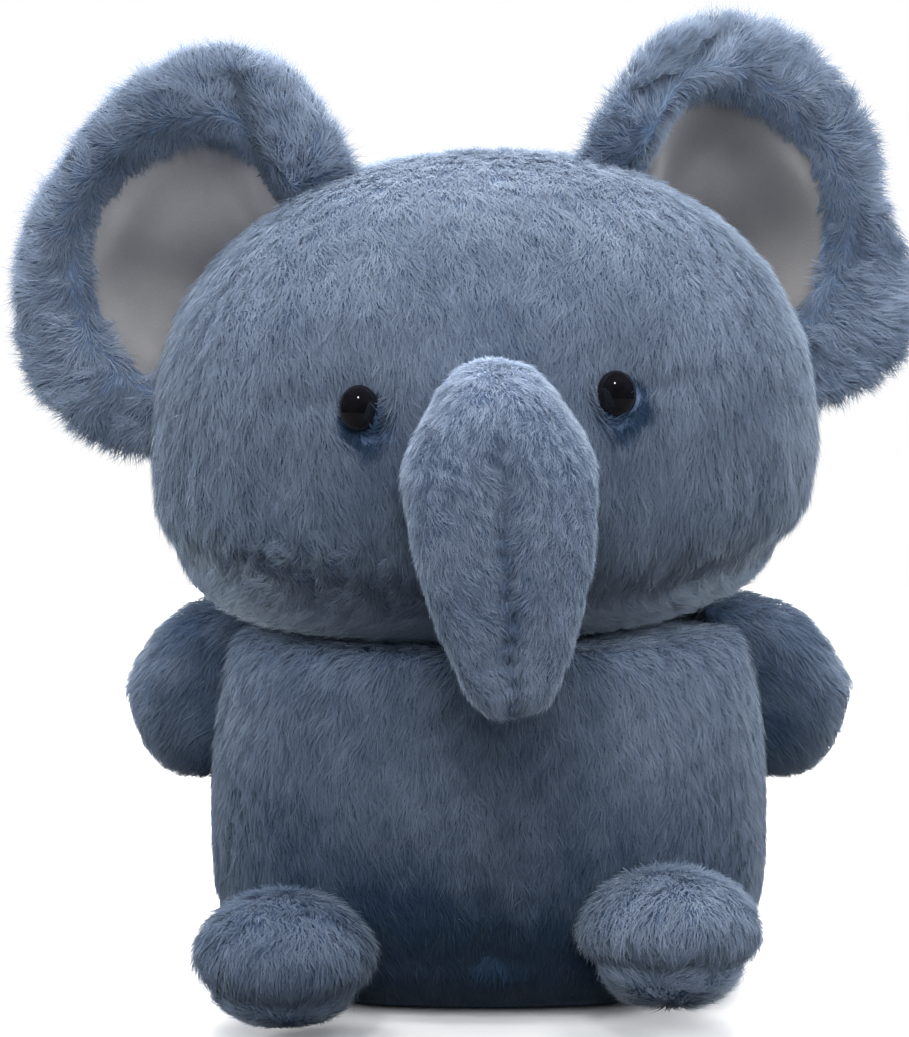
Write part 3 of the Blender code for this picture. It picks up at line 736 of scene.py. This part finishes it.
def comb_eye(combed, side, q, front):
    """Fur round an eye: shorter, darkened by a painted shadow round the eye that reaches further below it,
    with a fringe that stands up along the lower inner edge.
    """
    centre, radius = eye_place(side)
    offset = q - centre
    offset[:, 1] = 0
    away = np.linalg.norm(offset, axis=1)
    close = smoothstep(radius * 2.0, radius * 1.1, away) * front
    aside = rows(np.sign(offset[:, 0]) * 0.15, -0.3, -0.8)
    way = combed.way * (1 - close[:, None]) + aside * close[:, None]
    inner_low = np.array([-0.8 * SIDES[side], 0, -0.6])
    fringe = close * smoothstep(0.2, 0.7, unit(offset) @ inner_low)
    way = way * (1 - fringe[:, None]) - unit(offset) * fringe[:, None]
    # Painted shadow round the eye, reaching further below it
    shade = smoothstep(radius * 1.6, radius, away + 0.25 * offset[:, 2]) * front
    return combed._replace(way=way, tone=combed.tone - 0.70 * shade,
                           length=combed.length * (1 - 0.35 * close + 0.85 * fringe),
                           lift=combed.lift + 0.80 * fringe,
                           keep=combed.keep & ~((away < radius * 0.92) & front))


def build_body():
    """Body skin with a mound that fills the neck, and the fur."""
    nodes = parts_named("body_")
    world = Stand((0, 0, 0), (1, 0, 0), (0, 0, 1))
    skin = hull_of("body_skin", nodes)
    even_mesh(skin)
    _, high = world.box(*nodes)
    neck_z = JOINTS["head_turn"]["pos_m"][2]
    centre_x = seam_between(world, "body_belly_left_panel", "body_belly_right_panel", 0)
    base_z = seam_between(world, "body_base_panel", "body_back_panel", 2)
    side_y = seam_between(world, "body_belly_left_panel", "body_back_panel", 1)
    points = mesh_points(skin.data)
    held = np.maximum(near(points[:, 1] - side_y, SEAM_HELD), near(points[:, 2] - base_z, SEAM_HELD))
    held = np.maximum(held, near(points[:, 0] - centre_x, SEAM_HELD) * (points[:, 1] < side_y))
    held = np.maximum(held, smoothstep(0.008, 0.003, points[:, 2]))
    plump(skin, held)
    subdivide(skin)
    points = mesh_points(skin.data)
    under = smoothstep(0.006, 0.001, points[:, 2])
    push(skin, -PILE * (1 - 0.8 * under))
    points = mesh_points(skin.data)
    front = smoothstep(side_y + 0.004, side_y - 0.004, points[:, 1])
    low_belly = smoothstep(high[2] * 0.6, high[2] * 0.3, points[:, 2])
    above_base = smoothstep(base_z - 0.004, base_z, points[:, 2])
    depth = pinch(points[:, 0] - centre_x, 0.0045, 0.0026) * front * (0.25 + 0.75 * low_belly) * above_base
    depth += pinch(points[:, 2] - base_z, 0.005, 0.0009)
    depth += pinch(points[:, 1] - side_y, 0.005, 0.0014)
    push(skin, depth)
    points = mesh_points(skin.data)
    out = np.hypot(points[:, 0] / high[0], points[:, 1] / high[1])
    upper = smoothstep(high[2] - 0.030, high[2] - 0.008, points[:, 2])
    mound = smoothstep(1.12, 0.84, out) * upper
    points[:, 2] += mound * np.maximum(neck_z + PILE * 0.6 - points[:, 2], 0)
    move_points(skin, points)
    finish_skin(skin, "torso", nodes)

    def comb(roots, normals):
        top = np.clip(normals[:, 2], 0, 1)
        out = np.hypot(roots[:, 0], roots[:, 1])
        keep = ~(((out < 0.036) & (roots[:, 2] > high[2])) | (normals[:, 2] < -0.75))
        lower = smoothstep(high[2] * 0.75, high[2] * 0.2, roots[:, 2])
        sideways = -roots[:, 0] / high[0] * (0.15 + 0.85 * lower) + np.sign(roots[:, 0]) * top * 0.9
        way = rows(sideways, np.sign(roots[:, 1]) * top * 0.9, -1.0)
        length = 1 - 0.65 * smoothstep(0.012, 0.003, roots[:, 2])
        # Painted light and shade: paler towards +x, the side the light falls on more, and darker low on the
        # belly, most in the middle, where shade falls under the head, trunk and feet
        tone = 0.48 + 0.08 * waves(roots, 0.030, 33) + 0.055 * waves(roots, 0.009, 34) + 1.2 * roots[:, 0]
        tone -= lower * (0.24 + 0.34 * near(roots[:, 0] - centre_x, 0.045))
        return Comb(way, tone, length, 0.45 + 0 * tone, 0 * tone, keep)

    grow_fur("body_fur", skin, SLEEK_COAT, comb, "torso", 60, FUR)


def build_trunk():
    """Trunk skin with its gathered front seam, and shorter fur stroked towards the seam."""
    nodes = parts_named("trunk_")
    stand = Stand(JOINTS["trunk_lift"]["pos_m"], HEAD.axes[0], HEAD.axes[2])
    skin = joined_copy("trunk_skin", nodes)
    even_mesh(skin, 0.0026, 12)
    subdivide(skin)
    low, _ = stand.box(*nodes)
    push(skin, np.full(len(skin.data.vertices), -PILE * 0.6))
    q = stand.inside(mesh_points(skin.data))
    q[:, 0] *= 1 - 0.23 * smoothstep(-0.006, 0.014, q[:, 2])
    move_points(skin, stand.outside(q))
    n = stand.turned(mesh_normals(skin.data))
    front = smoothstep(0.15, -0.35, n[:, 1])
    upper = smoothstep(0.016, 0.000, q[:, 2])
    tucked = smoothstep(-0.008, -0.018, q[:, 2])
    tucks = 1 + 0.4 * tucked * np.cos(q[:, 2] * 2 * math.pi / 0.0050)
    push(skin, pinch(q[:, 0], 0.0024, 0.0018) * front * (0.3 + 0.7 * upper) * tucks)
    finish_skin(skin, "trunk", nodes)

    def comb(roots, normals):
        q, n = stand.inside(roots), stand.turned(normals)
        lower = smoothstep(0.012, -0.008, q[:, 2])
        way = rows(-np.tanh(q[:, 0] / 0.003) * 0.65 * lower, -0.5 * np.clip(n[:, 2], 0, 1), -1.0)
        seam = np.exp(-(q[:, 0] / 0.0020) ** 2) * lower * (n[:, 1] < 0)
        tuck_shade = 0.5 + 0.5 * np.cos((q[:, 2] + 0.6 * np.abs(q[:, 0])) * 2 * math.pi / 0.0050)
        band = np.exp(-((q[:, 2] - 0.002) / 0.010) ** 2)
        tone = 0.58 + 0.10 * waves(q, 0.02, 35) + (0.08 + 0.14 * band) * waves(q, 0.0035, 36)
        # Painted shade along the gathered seam's groove, deepest in the grooves of its tucks; the band near
        # the trunk's root is also darker
        tone -= seam * (0.30 + 0.30 * tuck_shade * smoothstep(-0.008, -0.018, q[:, 2])) + 0.12 * band
        tone += 0.25 * np.exp(-((q[:, 2] - low[2]) / 0.008) ** 2)
        one = np.ones(len(q))
        return Comb(way @ stand.axes, tone, one, 0.7 * one, 0 * one, one > 0)

    grow_fur("trunk_fur", skin, TRUNK_COAT, comb, "trunk", 80, TRUNK_FUR)
    return skin


def build_arm(side):
    """One mitten arm whose shoulder runs into the body."""
    out = SIDES[side]
    nodes = parts_named(f"arm_{side}_")
    pivot = np.array(JOINTS[f"arm_{side}_swing"]["pos_m"])
    low, high = node_points(*nodes).min(0), node_points(*nodes).max(0)
    inner_x = min(abs(low[0]), abs(high[0]))
    shoulder = pivot * np.array([0, 1, 1]) + np.array([out * (inner_x - 0.012), 0, 0])
    stub = [shoulder + np.array([0, y, z]) for y in (-0.014, 0.014) for z in (-0.026, 0.012)]
    skin = hull_of(f"arm_{side}_skin", nodes, stub)
    even_mesh(skin, 0.0028, 22)
    points = mesh_points(skin.data)
    plump(skin, np.maximum(near(points[:, 1] - pivot[1], 0.003), points[:, 0] * out < inner_x))
    subdivide(skin)
    push(skin, np.full(len(skin.data.vertices), -PILE * 0.8))
    points = mesh_points(skin.data)
    above = points[:, 2] - (low[2] + high[2]) / 2
    points[:, 0] -= out * np.where(above > 0, 0.34, -0.20) * above
    inward = smoothstep(np.abs(points[:, 0]).max(), inner_x, np.abs(points[:, 0]))
    points[:, 2] -= 0.0045 * smoothstep(0.004, -0.016, above) * inward
    move_points(skin, points)
    start, end = shoulder, shoulder + np.array([out * 0.012, 0, 0])
    joint = ("torso", f"arm_{side}", start, end)
    finish_skin(skin, joint, nodes)
    middle = (low + high) / 2

    def comb(roots, normals):
        q = roots - middle
        way = rows(0.55 * out, q[:, 1] * 30, -0.9)
        inward = smoothstep(0.006, -0.012, q[:, 0] * out)
        # Painted shade: darker on the inner side, towards the body
        tone = 0.42 - 0.20 * inward + 0.08 * waves(q, 0.02, 37) + 0.04 * waves(q, 0.008, 38)
        one = np.ones(len(q))
        keep = roots[:, 0] * out > inner_x - 0.022
        return Comb(way, tone, one, 0.5 * one, 0 * one, keep)

    grow_fur(f"arm_{side}_fur", skin, LONG_COAT, comb, joint, 100 + out, FUR)


def foot_stand(side):
    """A foot's frame: origin on its hinge, y away from the toe."""
    joint = JOINTS[f"foot_{side}_lift"]
    origin = np.array(joint["pos_m"])
    x_axis = -unit(np.array(joint["axis"]))
    points = node_points(*parts_named(f"foot_{side}_")) - origin
    points -= (points @ x_axis)[:, None] * x_axis
    toe = unit(points[np.argmax(np.linalg.norm(points, axis=1))])
    return Stand(origin, x_axis, np.cross(x_axis, -toe))


def build_foot(side):
    """One foot with its sole seam."""
    nodes = parts_named(f"foot_{side}_")
    stand = foot_stand(side)
    skin = hull_of(f"foot_{side}_skin", nodes)
    even_mesh(skin, 0.0030)
    seam_z = seam_between(stand, f"foot_{side}_sole_panel", f"foot_{side}_upper_panel", 2)
    points = mesh_points(skin.data)
    held = near(stand.inside(points)[:, 2] - seam_z, 0.004)
    plump(skin, np.maximum(held, smoothstep(0.006, 0.002, points[:, 2])))
    subdivide(skin)
    push(skin, np.full(len(skin.data.vertices), -PILE * 0.8))
    q = stand.inside(mesh_points(skin.data))
    q[:, 0] *= FOOT_WIDER
    move_points(skin, stand.outside(q))
    push(skin, pinch(q[:, 2] - seam_z, 0.004, 0.0030))
    finish_skin(skin, f"foot_{side}", nodes)
    _, high = stand.box(*nodes)

    def comb(roots, normals):
        q = stand.inside(roots)
        sole = q[:, 2] < seam_z
        upper_way = rows(0.5 * q[:, 0] / high[0], -0.9, -0.9)
        sole_way = rows(0.5 * q[:, 0] / high[0], 0.2, 0.5)
        way = np.where(sole[:, None], sole_way, upper_way)
        length = (1 - 0.75 * smoothstep(0.010, 0.002, roots[:, 2])) * np.where(sole, 0.8, 1)
        tone = FOOT_TONE_AND_SHADE[side] + 0.20 * sole
        tone += 0.08 * waves(q, 0.02, 39) + 0.055 * waves(q, 0.008, 41)
        return Comb(way @ stand.axes, tone, length, np.where(sole, 1.2, 0.5), 0 * tone, length > 0)

    seed = 110 + SIDES[side]
    grow_fur(f"foot_{side}_fur", skin, LONG_COAT, comb, f"foot_{side}", seed, FUR)


def ear_stand(side):
    """An ear's frame: origin in the middle of its lining, y to the back of the ear, x away from the head."""
    points = node_points(f"ear_{side}_lining")
    middle = (points.min(0) + points.max(0)) / 2
    axis = unit(np.array(JOINTS[f"ear_{side}_flap"]["axis"]))
    spread = points - points.mean(0)
    front = np.linalg.eigh(spread.T @ spread)[1][:, 0]
    front = front if front[1] < 0 else -front
    out = np.cross(axis, front)
    out = out if out[0] * SIDES[side] > 0 else -out
    up = np.cross(out * SIDES[side], -front)
    return Stand(middle - out * LINING_INWARD + up * LINING_RAISE[side], out * SIDES[side], up)


def lining_edge(angle):
    """How far the lining reaches from its middle.  Angle 0 points away from the head, a quarter turn up."""
    fold = np.exp(-((angle - math.radians(102)) / 0.50) ** 2)
    return LINING_REACH * (1 - 0.30 * fold)


def crease(q, start, end, width, depth):
    """How far a crease between two points of the ear's plane pulls the cloth in."""
    start, run = np.array(start), np.array(end) - np.array(start)
    flat = q[:, [0, 2]]
    share = np.clip((flat - start) @ run / (run @ run), 0, 1)
    return pinch(np.linalg.norm(flat - start - share[:, None] * run, axis=1), width, depth)


def build_ear(side):
    """One ear: furry back and rim, the root drawn in under the head's fur, and the soft lining."""
    out = SIDES[side]
    nodes = parts_named(f"ear_{side}_")
    stand = ear_stand(side)
    skin = joined_copy(f"ear_{side}_skin", nodes)
    even_mesh(skin, 0.0030, 10)
    subdivide(skin)
    shape_ear(side, stand, skin)
    finish_skin(skin, f"ear_{side}", nodes)
    build_lining(side, stand, skin)

    def comb(roots, normals):
        q, n = stand.inside(roots), stand.turned(normals)
        angle = np.arctan2(q[:, 2], q[:, 0] * out)
        inset = np.hypot(q[:, 0], q[:, 2]) / lining_edge(angle)
        front = n[:, 1] < 0
        keep = ~(front & (inset < 0.95))
        radial = unit(rows(q[:, 0], 0, q[:, 2]))
        inner = smoothstep(1.25, 1.0, inset)[:, None] * front[:, None]
        way = radial * (1 - 1.5 * inner) + np.array([0, 0, -0.45])
        length = 1 - 0.35 * inner[:, 0]
        tone = EAR_TONE_AND_SHADE[side] + 0.09 * waves(q, 0.02, 42) + 0.055 * waves(q, 0.008, 43)
        # Painted shade on the fur towards the ear's root, where it meets the head
        tone -= 0.22 * near(np.mod(angle, 2 * math.pi) - math.radians(150), 0.8)
        return Comb(way @ stand.axes, tone, length, 1.2 + 0 * tone, 0 * tone, keep)

    grow_fur(f"ear_{side}_fur", skin, LONG_COAT, comb, f"ear_{side}", 120 + out, FUR)


def shape_ear(side, stand, skin):
    """Draw the root in, give the ear its outline, cup it and press its crease in."""
    out = SIDES[side]
    head_tree = surface_tree(NODES["head_filling"].data)
    q = stand.inside(drawn_to(mesh_points(skin.data), head_tree, EAR_PULL, EAR_PULL_REACH))
    angle = np.degrees(np.arctan2(q[:, 2], q[:, 0] * out))
    swell = sum(share * near(angle - place, width) for place, width, share in EAR_SWELLS[side])
    q[:, [0, 2]] *= 1 + (swell * smoothstep(0.028, 0.045, np.hypot(q[:, 0], q[:, 2])))[:, None]
    move_points(skin, stand.outside(q))
    push(skin, np.full(len(skin.data.vertices), -PILE * 1.25))
    q = stand.inside(mesh_points(skin.data))
    n = stand.turned(mesh_normals(skin.data))
    angle = np.arctan2(q[:, 2], q[:, 0] * out)
    inset = np.hypot(q[:, 0], q[:, 2]) / lining_edge(angle)
    facing = smoothstep(0.1, -0.3, n[:, 1])
    cup = EAR_CUP[side] * smoothstep(1.02, 0.50, inset)
    overhang = near(angle - math.radians(80), 0.9) * smoothstep(0.75, 1.15, inset)
    q[:, 1] += cup - EAR_LEAN[side] * overhang
    mirrored = q * np.array([out, 1, 1])
    q[:, 1] -= crease(mirrored, *EAR_CREASES[side], 0.0035, 0.0050) * facing
    move_points(skin, stand.outside(q))


def build_lining(side, stand, skin):
    """The smooth cloth set in the ear: a round sheet laid on the skin, with soft folds."""
    out = SIDES[side]
    rings, spokes = 14, 64
    ahead = 0.05               # the sheet is laid on from this far in front
    tree = surface_tree(skin.data)
    bm = bmesh.new()
    grid = []
    missed = []
    for ring in range(rings + 1):
        row = []
        for spoke in range(spokes if ring else 1):
            angle = 2 * math.pi * spoke / spokes
            turn = math.atan2(math.sin(angle), math.cos(angle))
            reach = 1.02 * float(lining_edge(turn)) * ring / rings
            local = np.array([out * reach * math.cos(angle), -ahead, reach * math.sin(angle)])
            place = stand.outside(local)
            hit = tree.ray_cast(Vector(place), Vector(stand.axes[1]), ahead + 0.02)[0]
            row.append(bm.verts.new(hit if hit else place))
            if not hit:
                missed.append(row[-1])
        grid.append(row)
    stitch_rings(bm, grid)
    bmesh.ops.delete(bm, geom=missed, context='VERTS')
    bmesh.ops.recalc_face_normals(bm, faces=bm.faces)
    mesh = bpy.data.meshes.new(f"ear_{side}_lining_cloth")
    bm.to_mesh(mesh)
    bm.free()
    sheet = add_mesh_object(mesh.name, mesh)
    mesh.materials.append(MINKY[side])
    mesh.shade_smooth()
    q = stand.inside(mesh_points(mesh))
    inset = np.hypot(q[:, 0], q[:, 2]) / lining_edge(np.arctan2(q[:, 2], q[:, 0] * out))
    run = q[:, 0] * out * 0.5 + q[:, 2] * 0.85
    rise = 0.0012 + 0.0028 * (1 + np.sin(run / 0.0060))
    q[:, 1] -= rise * smoothstep(1.0, 0.75, inset) - 0.0008 * smoothstep(0.9, 1.0, inset)
    move_points(sheet, stand.outside(q))
    subdivide(sheet)
    sheet.data.shade_smooth()
    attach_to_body(sheet, f"ear_{side}")


def build_eye(side):
    """A smooth glossy dome in place of the CAD eye, a little narrower and taller than it."""
    centre, radius = eye_place(side)
    low, high = HEAD.box(f"eye_{side}")
    taller = (high[2] - low[2]) / (high[0] - low[0]) * DOME_TALLER
    centre = centre + np.array(DOME_OFFSET)
    radius *= DOME_SHARE
    bulge = 0.9
    around, steps = 40, 12
    bm = bmesh.new()
    rings = []
    for step in range(steps + 1):
        angle = DOME_ANGLE * step / steps
        reach, ahead = radius * math.sin(angle), radius * bulge * math.cos(angle)
        ring = []
        for turn in range(around if step else 1):
            way = 2 * math.pi * turn / around
            local = centre + np.array([reach * math.cos(way), -ahead, reach * math.sin(way) * taller])
            ring.append(bm.verts.new(HEAD.outside(local)))
        rings.append(ring)
    stitch_rings(bm, rings)
    bm.faces.new(rings[-1])
    bmesh.ops.recalc_face_normals(bm, faces=bm.faces)
    mesh = bpy.data.meshes.new(f"eye_{side}_dome")
    bm.to_mesh(mesh)
    bm.free()
    mesh.materials.append(EYE)
    mesh.shade_smooth()
    dome = add_mesh_object(mesh.name, mesh)
    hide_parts(f"eye_{side}")
    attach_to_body(dome, "head")


def repaint(node, material):
    """Give a CAD node that stays its finer material."""
    for slot in NODES[node].material_slots:
        slot.material = material


# ---------------------------------------------------------------- stage, light and camera

def build_stage():
    """Pale floor and soft light."""
    mesh = bpy.data.meshes.new("floor")
    bm = bmesh.new()
    bmesh.ops.create_circle(bm, cap_ends=True, segments=96, radius=FLOOR_RADIUS)
    bm.to_mesh(mesh)
    bm.free()
    floor = add_mesh_object("floor", mesh)
    mesh.materials.append(floor_material())
    build_world()
    add_area_light("top_softbox", (0.0, 0.00, 0.85), 0.65, 13, WARM_LIGHT)
    add_area_light("front_softbox", (0.10, -1.30, 0.80), 0.8, 14)
    add_area_light("rim_softbox", (0.0, 0.70, 0.70), 0.6, 15, WARM_LIGHT)
    for side, out in SIDES.items():
        add_area_light(f"{side}_softbox", (0.95 * out, 0.10, 0.42), 0.5, 11)
    key = add_area_light("key", (-0.10, -0.85, 1.0), 0.13, 3)
    key.visible_glossy = True          # the glint in the eyes


def floor_material():
    """Pale floor, white to the camera away from the toy, that sends little light back up."""
    made, tree, shader = node_material("pale_floor")
    seen = tree.nodes.new("ShaderNodeLightPath").outputs["Is Camera Ray"]
    mix = tree.nodes.new("ShaderNodeMix")
    mix.data_type = 'RGBA'
    mix.inputs["A"].default_value = (*FLOOR_TO_TOY, 1)
    mix.inputs["B"].default_value = (*PALE_FLOOR, 1)
    tree.links.new(seen, mix.inputs["Factor"])
    tree.links.new(mix.outputs["Result"], shader.inputs["Base Color"])
    place = tree.nodes.new("ShaderNodeTexCoord")
    away = tree.nodes.new("ShaderNodeVectorMath")
    away.operation = 'LENGTH'
    tree.links.new(place.outputs["Object"], away.inputs[0])
    fade = tree.nodes.new("ShaderNodeMapRange")
    fade.interpolation_type = 'SMOOTHSTEP'
    fade.inputs["From Min"].default_value, fade.inputs["From Max"].default_value = FLOOR_FADE
    tree.links.new(away.outputs["Value"], fade.inputs["Value"])
    glow = tree.nodes.new("ShaderNodeMath")
    glow.operation = 'MULTIPLY'
    tree.links.new(fade.outputs["Result"], glow.inputs[0])
    tree.links.new(seen, glow.inputs[1])
    tree.links.new(glow.outputs[0], shader.inputs["Emission Strength"])
    shader.inputs["Emission Color"].default_value = (1, 1, 1, 1)
    shader.inputs["Roughness"].default_value = 0.9
    shader.inputs["Specular IOR Level"].default_value = 0.0
    return made


def build_world():
    """White all round to the camera; to the toy, soft light mostly from above."""
    world = bpy.data.worlds.new("studio")
    bpy.context.scene.world = world
    world.use_nodes = True
    tree = world.node_tree
    background = tree.nodes["Background"]
    light_path = tree.nodes.new("ShaderNodeLightPath")
    place = tree.nodes.new("ShaderNodeTexCoord")
    split = tree.nodes.new("ShaderNodeSeparateXYZ")
    tree.links.new(place.outputs["Generated"], split.inputs[0])
    sky = colour_ramp(tree, split.outputs["Z"], [(0, SKY_LOW), (1, SKY_HIGH)])
    mix = tree.nodes.new("ShaderNodeMix")
    mix.data_type = 'RGBA'
    mix.inputs["B"].default_value = (1, 1, 1, 1)
    tree.links.new(light_path.outputs["Is Camera Ray"], mix.inputs["Factor"])
    tree.links.new(sky, mix.inputs["A"])
    dim = tree.nodes.new("ShaderNodeMix")
    dim.data_type = 'RGBA'
    dim.inputs["B"].default_value = (*SKY_REFLECTED, 1)
    tree.links.new(light_path.outputs["Is Glossy Ray"], dim.inputs["Factor"])
    tree.links.new(mix.outputs["Result"], dim.inputs["A"])
    tree.links.new(dim.outputs["Result"], background.inputs["Color"])
    background.inputs["Strength"].default_value = 1.0


def add_area_light(name, place, size, power, colour=WHITE_LIGHT):
    """A square soft light aimed at the toy, left out of reflections."""
    light = bpy.data.lights.new(name, 'AREA')
    light.size = size
    light.energy = power
    light.color = colour
    lamp = bpy.data.objects.new(name, light)
    lamp.location = place
    lamp.rotation_euler = (Vector(LIGHT_TARGET) - Vector(place)).to_track_quat('-Z', 'Y').to_euler()
    lamp.visible_glossy = False
    bpy.context.scene.collection.objects.link(lamp)
    return lamp


def build_camera():
    """The photograph's view: from the front, a little above."""
    distance, height = 1.1, math.radians(8)
    width = 0.22725            # seen across at the toy
    target = Vector((-0.0086, 0, 0.1168))
    data = bpy.data.cameras.new("camera")
    data.sensor_fit = 'HORIZONTAL'
    data.lens = data.sensor_width * distance / width
    camera = bpy.data.objects.new("camera", data)
    camera.location = target + Vector((0, -math.cos(height), math.sin(height))) * distance
    camera.rotation_euler = (target - camera.location).to_track_quat('-Z', 'Y').to_euler()
    bpy.context.scene.collection.objects.link(camera)
    bpy.context.scene.camera = camera
    bpy.context.scene.view_settings.view_transform = 'Standard'


build_head(build_trunk())
build_body()
for side in SIDES:
    build_ear(side)
    build_arm(side)
    build_foot(side)
    build_eye(side)
    repaint(f"eye_{side}_washer", EYE)
repaint("neck_seam_thread", THREAD)
build_stage()
build_camera()
